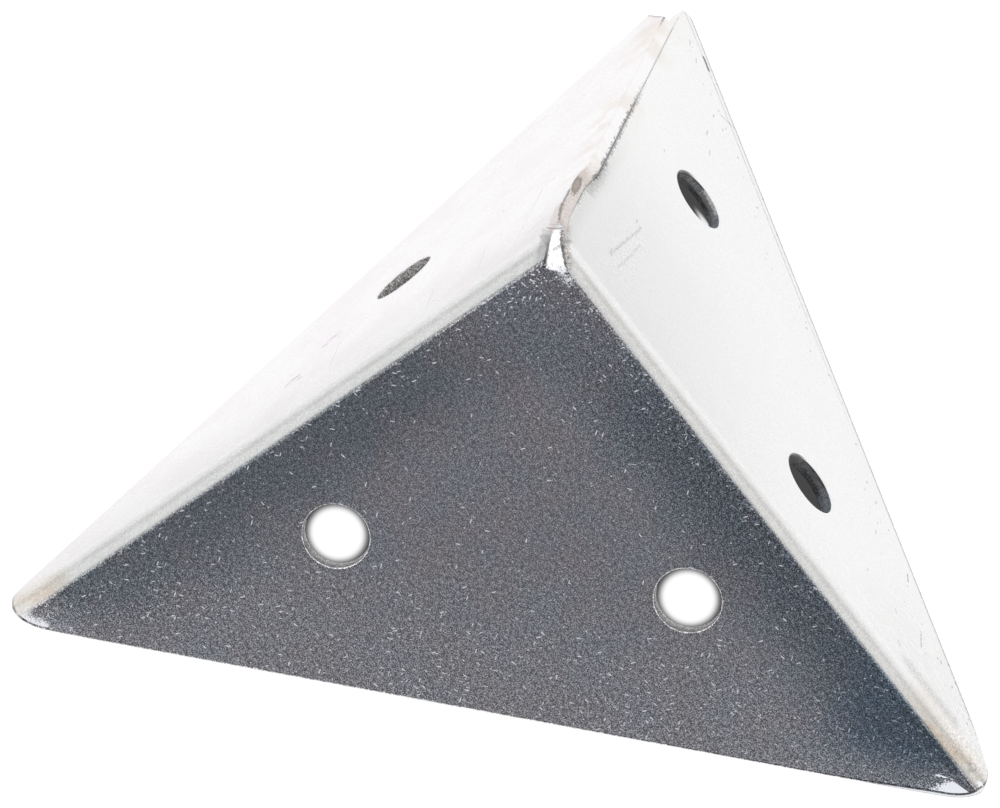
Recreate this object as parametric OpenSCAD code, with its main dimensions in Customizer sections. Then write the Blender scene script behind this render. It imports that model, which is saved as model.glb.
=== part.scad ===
// Pyramid corner: three right-angled triangular faces folded from one sheet of
// zinc-plated steel, open at the base. The front face carries a folded wing on
// each side, and the free edges of the wings meet in a seam that runs from the
// peak to the back tip.
// Stands on its cut edges on z = 0, peak up, front face towards -y, seam at +y.

/* [Sheet] */
// Length of a face from the sharp peak to a sharp tip, mm
leg = 60; // [48:1:90]
// Thickness of the sheet, mm
sheet_t = 1.2; // [0.8:0.1:1.6]
// Inside radius of the two folds, mm
fold_r = 0.8; // [0.4:0.1:1.6]

/* [Screw holes] */
// Diameter of the screw holes, mm
hole_d = 5.5; // [3:0.1:7]
// Distance of the line of holes from the cut edge of a face, mm
hole_inset = 13; // [9:0.5:14]
// Distance between the two holes of the front face and of the right wing, mm
hole_gap = 29; // [22:0.5:34]

/* [Corners] */
// Radius that rounds the blank at the two folded tips, mm
fold_tip_r = 5; // [2:0.5:8]
// Length of the right wing's cut edge that curves back at the folded tip, mm
curve_len = 10; // [9:0.5:16]
// Length of seam edge that the blunt tip of the left wing takes off, mm
blunt_len = 7.7; // [5:0.1:10]
// Width of the blunt tip along the left wing's cut edge, mm
blunt_w = 3.9; // [1:0.1:4.5]
// Radius that rounds the right wing at its tip beside the seam, mm
right_tip_r = 0.8; // [0.4:0.1:3]
// How far the ridge of the peak is pressed back, as a share of the fold
peak_flat = 0.28; // [0.05:0.01:0.35]

/* [Seam] */
// Clearance between the right wing and the inside of the left wing, mm
seam_gap = 0.15; // [0.05:0.05:0.5]

/* [Dents] */
// Diameter of the two small round dents in the left wing, mm
dent_d = 1.7; // [1:0.1:2.5]
// Depth of the dents, mm
dent_depth = 0.25; // [0.1:0.05:0.4]

/* [Hidden] */
// outside radius of the folds
out_r = fold_r + sheet_t;
// sum of the two face coordinates along the line of holes
hole_sum = leg - hole_inset * sqrt(2);
// face coordinates of a hole: the far one, the near one and the middle one
hole_far = (hole_sum + hole_gap / sqrt(2)) / 2;
hole_near = (hole_sum - hole_gap / sqrt(2)) / 2;
hole_mid = hole_sum / 2;
// the right wing starts here, clear of the left wing's inside face
right_start = sheet_t + seam_gap;
// the seam is open from here up to the tips
seam_from = out_r + 0.3;
// radius of the ball that presses a dent
dent_r = (dent_d * dent_d / 4 + dent_depth * dent_depth) / (2 * dent_depth);
// face coordinates of the two dents in the left wing
dent_1 = [0.717 * hole_sum, 0.249 * hole_sum];
dent_2 = [0.646 * hole_sum, 0.380 * hole_sum];
// circle that presses back the ridge of the peak, seen along the ridge
flat_out = peak_flat * out_r;
flat_mid = 1.5 * out_r;
flat_r = ((flat_mid - flat_out) * (flat_mid - flat_out) + out_r * out_r)
    / (2 * out_r);
// length of the slope from the pressed ridge back to the sharp edge
flat_end = 0.5;
// height of the sharp peak above the standing plane
peak_z = (leg + sheet_t) / sqrt(3);
// longer than anything in the part, for cutting and keeping blocks
far = 2 * leg;
// overlap of a cutting block past the face that it cuts
past = 1;
$fn = 96;

// The corner frame has the sharp peak at its origin: x runs along the right
// fold, y along the left fold and z along the seam. The front face lies in
// z = 0, the left wing in x = 0 and the right wing in y = 0.

// turns the corner frame into the standing frame
module stand()
{
    translate([0, 0, peak_z])
        rotate([180 + atan(sqrt(2)), 0, 0])
            rotate([0, 0, 45])
                children();
}

// the space inside the three planes, all moved in by s, with both folds
// rounded by r
module corner_space(r, s)
{
    translate([s, s, s])
        intersection()
        {
            union()
            {
                translate([r, 0, 0])
                    cube(far);
                translate([0, 0, r])
                    cube(far);
                translate([r, 0, r])
                    rotate([-90, 0, 0])
                        cylinder(r = r, h = far);
            }
            union()
            {
                translate([0, r, 0])
                    cube(far);
                translate([0, 0, r])
                    cube(far);
                translate([0, r, r])
                    rotate([0, 90, 0])
                        cylinder(r = r, h = far);
            }
        }
}

// the space that stays when the ridge of the peak is pressed back
module ridge_space()
{
    rotate([0, 0, 45])
        union()
        {
            translate([flat_mid, -far, 0])
                cube([far, 2 * far, far]);
            translate([0, far, 0])
                rotate([90, 0, 0])
                    linear_extrude(2 * far)
                        polygon([
                            [0, out_r + flat_end],
                            [flat_out, out_r],
                            [flat_mid + past, out_r],
                            [flat_mid + past, far],
                            [0, far]
                        ]);
            intersection()
            {
                translate([flat_mid, far, flat_r])
                    rotate([90, 0, 0])
                        cylinder(r = flat_r, h = 2 * far);
                translate([0, -far, 0])
                    cube([flat_mid + past, 2 * far, out_r + past]);
            }
        }
}

// the half of space on the peak's side of a cut edge, drawn in x and y
module edge_space()
{
    translate([0, 0, -past])
        linear_extrude(far)
            polygon([[-far, -far], [leg + far, -far], [-far, leg + far]]);
}

// the folded sheet with square tips and no holes
module folded_sheet()
{
    intersection()
    {
        difference()
        {
            intersection()
            {
                corner_space(out_r, 0);
                ridge_space();
            }
            corner_space(fold_r, sheet_t);
        }
        edge_space();
        rotate([90, 0, 90])
            edge_space();
        translate([0, far - past, 0])
            rotate([90, 0, 0])
                edge_space();
    }
}

// takes a tip off outside a circle of radius r centred at cx, cy; the circle
// touches the cut edge, and the block reaches m past the centre's first leg
module tip_cut(cx, cy, r, m, depth)
{
    reach = r + 3;
    difference()
    {
        linear_extrude(depth)
            polygon([
                [cx - m, cy],
                [cx, cy],
                [cx + reach / sqrt(2), cy + reach / sqrt(2)],
                [cx - m, leg + 3]
            ]);
        translate([cx, cy, -past])
            cylinder(r = r, h = depth + 2 * past);
    }
}

// rounds one folded tip in one of its two faces, drawn with the fold along y
module fold_tip_cut()
{
    translate([0, 0, -past])
        tip_cut(0, leg - fold_tip_r * sqrt(2), fold_tip_r, past, 12);
}

// rounds both folded tips, each in the front face and in its wing
module fold_tips()
{
    fold_tip_cut();
    mirror([1, 0, -1])
        fold_tip_cut();
    mirror([1, -1, 0])
        fold_tip_cut();
    mirror([0, 1, -1])
        mirror([1, -1, 0])
            fold_tip_cut();
}

// curves the right wing's cut edge back towards the folded tip, along a large
// circle that touches the edge at one end and the tip's rounding at the other
module edge_curve()
{
    near = (sqrt(2) - 1) * fold_tip_r;
    run = curve_len / sqrt(2);
    r = (curve_len * curve_len - 2 * near * run + near * near) / (sqrt(2) * near);
    cu = leg - run - r / sqrt(2);
    cv = run - r / sqrt(2);
    mirror([0, 1, -1])
        translate([0, 0, -past])
            difference()
            {
                linear_extrude(sheet_t + 2 * past)
                    polygon([
                        [leg - run, run],
                        [leg - near - past, -past],
                        [leg + past, -past],
                        [leg + past, run]
                    ]);
                translate([cu, cv, -past])
                    cylinder(r = r, h = sheet_t + 4 * past);
            }
}

// cuts the left wing blunt beside the seam, along a line that runs from the
// seam edge to the cut edge
module left_tip()
{
    run = blunt_w / sqrt(2);
    slope = (blunt_len - run) / run;
    translate([-past, 0, 0])
        rotate([90, 0, 90])
            linear_extrude(past + right_start - seam_gap / 2)
                polygon([
                    [-past, leg - blunt_len - past * slope],
                    [run + past, leg - run + past * slope],
                    [-past, leg + past + past * slope]
                ]);
}

// rounds the right wing beside the seam
module right_tip()
{
    cx = right_start + right_tip_r;
    cy = leg - cx - right_tip_r * sqrt(2);
    translate([0, sheet_t + past, 0])
        rotate([90, 0, 0])
            tip_cut(cx, cy, right_tip_r, right_tip_r + seam_gap / 2, sheet_t + 2 * past);
}

// clearance of the seam, taken off the right wing's edge
module seam_cut()
{
    translate([sheet_t, -past, seam_from])
        cube([seam_gap, sheet_t + 2 * past, far]);
}

// one hole through a face, drawn through the front face
module hole(u, v)
{
    translate([u, v, -past])
        cylinder(d = hole_d, h = sheet_t + 2 * past);
}

// five screw holes: two in the front face, two in the right wing and one in
// the middle of the left wing
module screw_holes()
{
    hole(hole_near, hole_far);
    hole(hole_far, hole_near);
    mirror([0, 1, -1])
    {
        hole(hole_far, hole_near);
        hole(hole_near, hole_far);
    }
    mirror([1, 0, -1])
        hole(hole_mid, hole_mid);
}

// two small round dents in the outside of the left wing
module dents()
{
    for (at = [dent_1, dent_2])
        translate([dent_depth - dent_r, at[0], at[1]])
            sphere(r = dent_r);
}

module corner_plate()
{
    color([0.78, 0.79, 0.80])
        stand()
            difference()
            {
                folded_sheet();
                fold_tips();
                edge_curve();
                left_tip();
                right_tip();
                seam_cut();
                screw_holes();
                dents();
            }
}

corner_plate();
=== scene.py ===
"""Dresses the folded pyramid corner: one zinc-plated sheet with rounded edges, on a pale floor."""

import math

import bmesh
import bpy
from mathutils import Matrix, Vector


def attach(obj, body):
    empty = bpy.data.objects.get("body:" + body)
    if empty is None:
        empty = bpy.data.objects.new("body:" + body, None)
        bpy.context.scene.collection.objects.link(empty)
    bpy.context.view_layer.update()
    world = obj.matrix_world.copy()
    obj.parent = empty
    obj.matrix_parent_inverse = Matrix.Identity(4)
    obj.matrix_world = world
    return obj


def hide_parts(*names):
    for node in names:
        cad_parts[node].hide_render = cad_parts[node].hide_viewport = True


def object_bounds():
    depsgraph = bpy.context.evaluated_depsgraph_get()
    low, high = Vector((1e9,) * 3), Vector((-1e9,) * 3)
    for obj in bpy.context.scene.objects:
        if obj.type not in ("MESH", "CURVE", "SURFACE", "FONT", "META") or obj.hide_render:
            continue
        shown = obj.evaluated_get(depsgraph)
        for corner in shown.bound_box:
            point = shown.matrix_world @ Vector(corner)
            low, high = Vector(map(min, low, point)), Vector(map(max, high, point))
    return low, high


bl_info = {
    "name": "Pyramid corner",
    "version": (1, 0, 0),
    "blender": (4, 5, 0),
    "location": "3D View > Sidebar > Pyramid corner",
    "description": "Builds a folded, zinc-plated pyramid corner and its stage",
    "category": "Object",
}

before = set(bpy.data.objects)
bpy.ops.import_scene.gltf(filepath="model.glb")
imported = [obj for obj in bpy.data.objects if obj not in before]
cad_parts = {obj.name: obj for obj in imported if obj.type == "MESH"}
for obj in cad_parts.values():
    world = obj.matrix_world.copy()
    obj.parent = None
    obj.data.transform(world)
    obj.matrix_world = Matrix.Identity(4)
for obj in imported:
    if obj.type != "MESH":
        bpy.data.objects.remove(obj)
CAD_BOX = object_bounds()

# The corner frame has its origin at the sharp peak: ALONG_RIGHT runs down the
# right fold, ALONG_LEFT down the left fold and ALONG_SEAM down the seam.
ALONG_RIGHT = Vector((1 / math.sqrt(2), -1 / math.sqrt(6), -1 / math.sqrt(3)))
ALONG_LEFT = Vector((-1 / math.sqrt(2), -1 / math.sqrt(6), -1 / math.sqrt(3)))
ALONG_SEAM = Vector((0, 2 / math.sqrt(6), -1 / math.sqrt(3)))

MM = 0.001


def peak(sizes):
    """The sharp peak in the standing frame."""
    return Vector((0, 0, (sizes.leg + sizes.sheet) / math.sqrt(3)))


def ramp(value, low, high):
    """0 below low, 1 above high, smooth between them."""
    t = min(max((value - low) / (high - low), 0), 1)
    return t * t * (3 - 2 * t)


def on_front(right, left):
    """A place on the front face, in mm along the right fold, the left fold and the seam."""
    return (right, left, 0)


def on_left(left, seam):
    """A place on the left wing."""
    return (0, left, seam)


def on_right(right, seam):
    """A place on the right wing."""
    return (right, 0, seam)


# Dark marks in the plating: start, end, width in mm, strength and raggedness
SCRATCHES = (
    (on_left(5.5, 19.4), on_left(4.3, 19.1), 0.16, 0.40, 0.1),
    (on_left(5.4, 18.4), on_left(5.2, 6.4), 0.16, 0.22, 0.3),
    (on_left(5.8, 13.0), on_left(5.7, 11.9), 0.16, 0.35, 0.1),
    (on_left(9.9, 19.9), on_left(9.8, 19.4), 0.16, 0.45, 0.1),
    (on_left(9.6, 11.0), on_left(9.1, 5.0), 0.15, 0.26, 0.3),
    (on_left(14.5, 8.6), on_left(14.1, 3.6), 0.15, 0.26, 0.3),
    (on_left(25.5, 12.9), on_left(25.0, 6.7), 0.16, 0.22, 0.3),
    # the next two are painted shade in the hollows of two dents
    (on_left(30.6, 9.95), on_left(28.8, 9.65), 0.34, 0.66, 0.1),
    (on_left(28.1, 15.55), on_left(26.2, 15.1), 0.34, 0.66, 0.1),
    (on_right(6.9, 16.2), on_right(5.4, 6.9), 0.34, 0.28, 1.0),
    (on_right(7.5, 13.5), on_right(6.6, 6.4), 0.30, 0.20, 1.0),
    (on_right(5.4, 7.9), on_right(5.6, 6.9), 0.30, 0.30, 0.3),
    (on_right(6.2, 16.6), on_right(6.3, 16.1), 0.16, 0.60, 0.1),
    (on_right(10.7, 48.8), on_right(8.9, 48.1), 0.20, 0.55, 0.2),
    (on_right(8.4, 46.9), on_right(8.4, 46.3), 0.20, 0.40, 0.2),
    (on_right(5.1, 53.7), on_right(6.1, 52.7), 0.50, 1.00, 0.5),
    (on_right(3.2, 53.6), on_right(3.4, 52.9), 0.20, 0.45, 0.1),
    (on_right(4.5, 52.0), on_right(4.7, 51.4), 0.20, 0.45, 0.1),
    (on_right(8.5, 43.1), on_right(8.6, 42.3), 0.22, 0.45, 0.1),
    (on_right(9.5, 40.5), on_right(9.7, 39.8), 0.20, 0.40, 0.1),
    (on_right(5.6, 31.9), on_right(5.7, 31.6), 0.18, 0.45, 0.1),
    (on_right(37.6, 20.1), on_right(37.6, 19.5), 0.18, 0.45, 0.1),
    (on_right(38.6, 15.7), on_right(38.7, 15.2), 0.18, 0.45, 0.1),
    (on_right(39.2, 8.8), on_right(39.2, 8.4), 0.18, 0.40, 0.1),
    (on_right(43.0, 15.2), on_right(43.3, 14.3), 0.24, 0.65, 0.1),
    (on_right(46.2, 9.4), on_right(46.7, 7.3), 0.22, 0.50, 0.3),
    (on_right(43.1, 8.1), on_right(43.3, 7.6), 0.18, 0.45, 0.1),
    (on_right(44.4, 4.2), on_right(44.7, 3.7), 0.20, 0.45, 0.1),
    (on_right(49.0, 9.0), on_right(49.1, 8.6), 0.20, 0.60, 0.1),
    (on_right(52.2, 3.5), on_right(52.5, 3.0), 0.20, 0.45, 0.1),
)

# Directions of the bright dashes on the front face, in degrees from the right fold
DASHES = (-72, -45, -12, 55)

# Painted highlights at the right tip, on the front face and on the fold: start, end and width in
# mm
HIGHLIGHT_WEDGES = (
    (on_front(54.4, 3.0), on_front(55.4, 2.2), 0.16),
    ((57.1, 0.80, 0.40), (57.3, 0.72, 0.48), 0.42),
)

# Stains: start, end, width in mm, strength, colour, softness and raggedness
STAINS = (
    ((0, 1.2, 26.5), (0, 1.3, 26.8), 0.9, 0.50, "rust", 1.0, 1.0),
    ((49, 0.3, 0.8), (57, 0.8, 0.5), 6.0, 0.42, "tan", 1.0, 3.0),
    ((50.5, 1.1, 0.2), (54.5, 0.8, 0.3), 1.2, 0.60, "rust", 1.0, 1.6),
    ((53.5, 0.4, 0.9), (55.2, 0.3, 1.0), 1.2, 0.30, "rust", 1.0, 2.5),
    ((1.0, 53, 0.4), (0.6, 57, 0.8), 3.5, 0.75, "tan", 1.0, 3.0),
    ((1.1, 54.0, 0.3), (0.9, 55.6, 0.4), 1.1, 0.35, "rust", 1.0, 2.0),
)

# Dark lines and dirt along the seam and at the back tip, given in the same way
SEAM_MARKS = (
    ((1.28, 0, 37), (1.28, 0, 55), 0.36, 0.36, "scratch_and_shade", 0.8, 0.5),
    ((1.32, 0, 8.0), (1.32, 0, 17), 0.34, 0.55, "scratch_and_shade", 0.8, 1.4),
    ((0.1, 0, 2.6), (0.1, 0, 8.6), 0.34, 0.60, "scratch_and_shade", 0.7, 0.5),
    ((0, 0.3, 52.9), (0, 2.5, 56.9), 0.90, 0.70, "scratch_and_shade", 0.8, 0.8),
    ((0, 0.6, 2.0), (0, 0.1, 5.2), 1.3, 0.85, "grime", 0.5, 1.2),
    ((1.4, 0, 19), (1.7, 0, 12), 1.6, 0.34, "scratch_and_shade", 1.0, 1.4),
)

# A faint ring of dirt on the right fold at its tip: its centre and its radius, in mm
RING_CENTRE = (55.7, 0.47, 0.71)
RING_RADIUS = 0.34

# Tints on the wings, in the bends, on the front face and beside the tongue: LILAC and the
# warm and cool front tints are the plating's own patchy tone, the others are painted shade
WING_SHADE_BY_PEAK = (0.86, 0.862, 0.86)
WING_SHADE_BY_LEFT_FOLD = (0.90, 0.895, 0.895)
LILAC = (0.99, 0.965, 0.985)
LEFT_BEND_SHADE = (0.77, 0.78, 0.765)
RIGHT_BEND_SHADE = (0.78, 0.775, 0.755)
MID_BEND_SHADE = (0.89, 0.885, 0.88)
FRONT_SHADE_BY_LEFT_FOLD = (0.62, 0.67, 0.69)
FRONT_SHADE_BY_RIGHT_TIP = (0.62, 0.76, 0.86)
FRONT_WARM = (0.668, 0.618, 0.630)
FRONT_COOL = (0.620, 0.626, 0.660)
LEFT_FLANK_SHADE = (0.76, 0.755, 0.78)
RIGHT_FLANK_SHADE = (0.74, 0.71, 0.70)

# Colours of the pressed tongue, a whiter mirror that paints its highlight, and of scuffed
# plating, which also paints the highlights at the tips, along the lip and at the tongue's foot
TONGUE_HIGHLIGHT = (0.96, 0.96, 0.96)
SCUFF_AND_HIGHLIGHT = (0.88, 0.90, 0.94)

# Colours of the cut edge along the seam
CLEAN_CUT = (0.855, 0.845, 0.845)
CUT_SPOT = (0.43, 0.39, 0.36)
CUT_BY_PEAK = (0.80, 0.78, 0.78)

# Colours of the hole walls, painted light and shade: three in the right wing and a glint, one
# in the left wing, and the outer and the inner side in the front face
NEAR_WALL_SHADING = (0.30, 0.30, 0.30)
FAR_WALL_SHEEN = (0.33, 0.36, 0.41)
WALL_LIGHT_BAND = (0.42, 0.43, 0.44)
WALL_GLINT = (0.95, 0.95, 0.90)
LEFT_WALL_SHADING = (0.50, 0.49, 0.475)
FRONT_WALL_SHADE = (0.30, 0.30, 0.295)
FRONT_WALL_LIGHT = (0.85, 0.85, 0.85)

# Where a face's two holes lie along its two edges, and the seam places that part them, in mm
HOLE_NEAR = 10.55
HOLE_FAR = 31.06
BETWEEN_HOLES = (20, 21)

# The rounding of the two folded tips: its radius and its centre along the fold, in mm
TIP_RADIUS = 5.0
TIP_CENTRE = 52.93

# The right side of the pressed tongue, in mm from the middle of the front face: where it
# starts at the peak, and how much further out it gets per mm
TONGUE_SIDE = 0.08
TONGUE_SPREAD = 0.385

# How far the right wing's edge is drawn towards the left wing, in metres
SLOT_CLOSED = 0.00012

# Faces that turn by less than the first angle are one flat face, and edges that turn by more
# than the second are sharp
FLAT = math.radians(0.3)
SHARP = math.radians(35)

# How far from the peak the finer cuts reach: the planes in metres, and the faces that they
# cut in mm along the folds and along the seam
FINE_CUTS = 0.005
FINE_DOWN = 5.2
FINE_BACK = 2.5

# Spots of light on the floor behind the holes of the front face: x, y in mm and lean
LIT_SPOTS = ((-16.33, -10.03, 0.128), (13.20, -10.03, 0.092))

# A soft streak of light behind the upper hole of the right wing: its middle, its way, and
# the factors that lengthen and narrow it
STREAK_MIDDLE = (7.33, 25.76)
STREAK_WAY = (0.643, -0.766)
STREAK_LONG = 0.65
STREAK_NARROW = 5

# The photographed view: the frame and the peak's place in it in pixels, the focal length in
# pixels, the distance in legs and the sensor's width in mm
FRAME = (1000, 808)
PEAK_AT = (553.9, 231.7)
FOCAL = 8843.5
DISTANCE = 11.67
SENSOR = 36


class CornerSizes(bpy.types.PropertyGroup):
    leg: bpy.props.FloatProperty(
        name="Leg", description="From the sharp peak to a sharp tip",
        default=0.060, min=0.04, max=0.1, subtype="DISTANCE", unit="LENGTH",
    )
    sheet: bpy.props.FloatProperty(
        name="Sheet", description="Thickness of the sheet",
        default=0.0012, min=0.0005, max=0.003, subtype="DISTANCE", unit="LENGTH",
    )
    fold: bpy.props.FloatProperty(
        name="Fold radius", description="Outside radius of the two folds",
        default=0.0020, min=0.001, max=0.004, subtype="DISTANCE", unit="LENGTH",
    )
    rim: bpy.props.FloatProperty(
        name="Edge rounding", description="How far the cut edges are rounded",
        default=0.00014, min=0.00002, max=0.0003, subtype="DISTANCE", unit="LENGTH",
    )
    cell: bpy.props.FloatProperty(
        name="Cell", description="Spacing of the cuts that let the faces bend",
        default=0.0012, min=0.0005, max=0.005, subtype="DISTANCE", unit="LENGTH",
    )
    peak_cell: bpy.props.FloatProperty(
        name="Peak cell", description="Spacing of the finer cuts at the peak",
        default=0.00012, min=0.00005, max=0.001, subtype="DISTANCE", unit="LENGTH",
    )
    push: bpy.props.FloatProperty(
        name="Seam push", description="How far the seam is pushed over beside the peak",
        default=0.00055, min=0, max=0.001, subtype="DISTANCE", unit="LENGTH",
    )
    curl: bpy.props.FloatProperty(
        name="Tip curl", description="How far the front face curls in at its two tips",
        default=0.00022, min=0, max=0.0005, subtype="DISTANCE", unit="LENGTH",
    )


class CornerColours(bpy.types.PropertyGroup):
    zinc: bpy.props.FloatVectorProperty(
        name="Zinc", description="Colour of the clean plating",
        default=(0.82, 0.82, 0.82), min=0, max=1, size=3, subtype="COLOR",
    )
    left_wing: bpy.props.FloatVectorProperty(
        name="Left wing", description="Tint of the plating on the left wing",
        default=(1.0, 0.985, 0.99), min=0, max=1, size=3, subtype="COLOR",
    )
    right_wing: bpy.props.FloatVectorProperty(
        name="Right wing", description="Tint of the plating on the right wing",
        default=(0.98, 0.98, 0.975), min=0, max=1, size=3, subtype="COLOR",
    )
    # the blue band is painted shade on the front face beside the right fold
    band: bpy.props.FloatVectorProperty(
        name="Blue band", description="Tint of the front face beside the right fold",
        default=(0.50, 0.57, 0.61), min=0, max=1, size=3, subtype="COLOR",
    )
    tan: bpy.props.FloatVectorProperty(
        name="Tan stain", description="Tint of the stains beside the seam and at the tips",
        default=(0.84, 0.76, 0.67), min=0, max=1, size=3, subtype="COLOR",
    )
    rust: bpy.props.FloatVectorProperty(
        name="Rust stain", description="Tint of the brown spots at the seam and at the tips",
        default=(0.86, 0.70, 0.54), min=0, max=1, size=3, subtype="COLOR",
    )
    sheared: bpy.props.FloatVectorProperty(
        name="Sheared steel", description="Colour of the cut edges where they are dull",
        default=(0.62, 0.57, 0.54), min=0, max=1, size=3, subtype="COLOR",
    )
    # the hole walls' colours are painted shade and light
    bore_shade: bpy.props.FloatVectorProperty(
        name="Hole wall", description="Darkest colour of the hole walls in the right wing",
        default=(0.13, 0.13, 0.135), min=0, max=1, size=3, subtype="COLOR",
    )
    # this tint also draws the painted shade in the tongue's crease lines, round the hole edges and
    # along the cut edges
    scratch_and_shade: bpy.props.FloatVectorProperty(
        name="Scratch", description="Tint of scratches, flecks and creases",
        default=(0.16, 0.155, 0.15), min=0, max=1, size=3, subtype="COLOR",
    )
    grime: bpy.props.FloatVectorProperty(
        name="Grime", description="Tint of the dull patch at the top of the seam",
        default=(0.84, 0.80, 0.77), min=0, max=1, size=3, subtype="COLOR",
    )
    floor: bpy.props.FloatVectorProperty(
        name="Floor", description="Colour of the pale floor",
        default=(0.22, 0.22, 0.22), min=0, max=1, size=3, subtype="COLOR",
    )


def new_piece(name, bm, materials):
    """Makes an object at the origin from a bmesh, and frees the bmesh."""
    mesh = bpy.data.meshes.new(name)
    bm.to_mesh(mesh)
    bm.free()
    for material in materials:
        mesh.materials.append(material)
    piece = bpy.data.objects.new(name, mesh)
    bpy.context.scene.collection.objects.link(piece)
    return piece


class Tree:
    """Short words for the nodes of one material or node group."""

    def __init__(self, tree):
        self.nodes = tree.nodes
        self.links = tree.links

    def set(self, socket, value):
        """Links a socket to the value, or gives it the value."""
        if isinstance(value, bpy.types.NodeSocket):
            self.links.new(value, socket)
        elif hasattr(value, "__len__") and len(socket.default_value) == 4 and len(value) == 3:
            socket.default_value = (*value, 1)
        else:
            socket.default_value = value

    def math(self, operation, *values):
        """One Math node on the values."""
        node = self.nodes.new("ShaderNodeMath")
        node.operation = operation
        for socket, value in zip(node.inputs, values):
            self.set(socket, value)
        return node.outputs[0]

    def vector(self, operation, *values):
        """One Vector Math node on the values."""
        node = self.nodes.new("ShaderNodeVectorMath")
        node.operation = operation
        for socket, value in zip(node.inputs, values):
            self.set(socket, value)
        return node.outputs["Value" if operation in ("DOT_PRODUCT", "LENGTH") else "Vector"]

    def scaled(self, vector, factor):
        """The vector times the factor."""
        node = self.nodes.new("ShaderNodeVectorMath")
        node.operation = "SCALE"
        self.set(node.inputs[0], vector)
        self.set(node.inputs["Scale"], factor)
        return node.outputs[0]

    def join(self, x, y, z):
        """A vector of three numbers."""
        node = self.nodes.new("ShaderNodeCombineXYZ")
        for socket, value in zip(node.inputs, (x, y, z)):
            self.set(socket, value)
        return node.outputs[0]

    def split(self, vector):
        """The three numbers of a vector."""
        node = self.nodes.new("ShaderNodeSeparateXYZ")
        self.set(node.inputs[0], vector)
        return node.outputs

    def grey(self, value):
        """The number as a grey."""
        node = self.nodes.new("ShaderNodeCombineColor")
        for socket in node.inputs:
            self.set(socket, value)
        return node.outputs[0]

    def channels(self, colour):
        """The red, green and blue of a colour."""
        node = self.nodes.new("ShaderNodeSeparateColor")
        self.set(node.inputs[0], colour)
        return node.outputs

    def fade(self, value, low, high, to_low=0.0, to_high=1.0):
        """to_low at low and to_high at high, smooth between them."""
        node = self.nodes.new("ShaderNodeMapRange")
        node.interpolation_type = "SMOOTHSTEP"
        # the smooth step keeps within its ends, and so many clamps overfill Cycles' shader stack
        node.clamp = False
        for socket, number in zip(node.inputs, (value, low, high, to_low, to_high)):
            self.set(socket, number)
        return node.outputs[0]

    def noise(self, vector, scale, detail, rough):
        """Cloudy noise, from 0 to 1 and mostly near a half."""
        node = self.nodes.new("ShaderNodeTexNoise")
        self.set(node.inputs["Vector"], vector)
        self.set(node.inputs["Scale"], scale)
        self.set(node.inputs["Detail"], detail)
        self.set(node.inputs["Roughness"], rough)
        return node.outputs["Fac"]

    def cells(self, x, y, scale):
        """Random cells in a plane: the distance from the nearest centre, and its colour."""
        node = self.nodes.new("ShaderNodeTexVoronoi")
        node.voronoi_dimensions = "2D"
        self.set(node.inputs["Vector"], self.join(x, y, 0))
        self.set(node.inputs["Scale"], scale)
        return node.outputs

    def stored(self, name):
        """Outputs of a value that the mesh carries."""
        node = self.nodes.new("ShaderNodeAttribute")
        node.attribute_name = name
        return node.outputs

    def most(self, *values):
        """The largest of the values."""
        largest, *others = values
        for value in others:
            largest = self.math("MAXIMUM", largest, value)
        return largest

    def product(self, *values):
        """The values multiplied."""
        result, *others = values
        for value in others:
            result = self.math("MULTIPLY", result, value)
        return result

    def between(self, value, low, high, soft):
        """1 between low and high, fading to 0 within soft outside them."""
        rise = self.fade(value, low - soft, low)
        return self.math("MULTIPLY", rise, self.fade(value, high, high + soft, 1, 0))

    def mix(self, share, first, second, blend="MIX"):
        """The second colour over the first, as far as share says."""
        node = self.nodes.new("ShaderNodeMix")
        node.data_type = "RGBA"
        node.blend_type = blend
        node.clamp_factor = True
        self.set(node.inputs[0], share)
        self.set(node.inputs[6], first)
        self.set(node.inputs[7], second)
        return node.outputs[2]

    def tint(self, colour, tint, share):
        """The colour multiplied by the tint, as far as share says."""
        return self.mix(share, colour, tint, "MULTIPLY")

    def use(self, group, **values):
        """Adds a node group and sets its inputs by name."""
        node = self.nodes.new("ShaderNodeGroup")
        node.node_tree = group
        for name, value in values.items():
            self.set(node.inputs[name], value)
        return node.outputs


def shader_group(name, inputs, outputs):
    """An empty node group with the named sockets: its tree, its inputs and its outputs."""
    group = bpy.data.node_groups.new(name, "ShaderNodeTree")
    for way, sockets in (("INPUT", inputs), ("OUTPUT", outputs)):
        for label, kind in sockets.items():
            group.interface.new_socket(label, in_out=way, socket_type="NodeSocket" + kind)
    given = group.nodes.new("NodeGroupInput").outputs
    made = group.nodes.new("NodeGroupOutput").inputs
    return group, Tree(group), given, made


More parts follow.
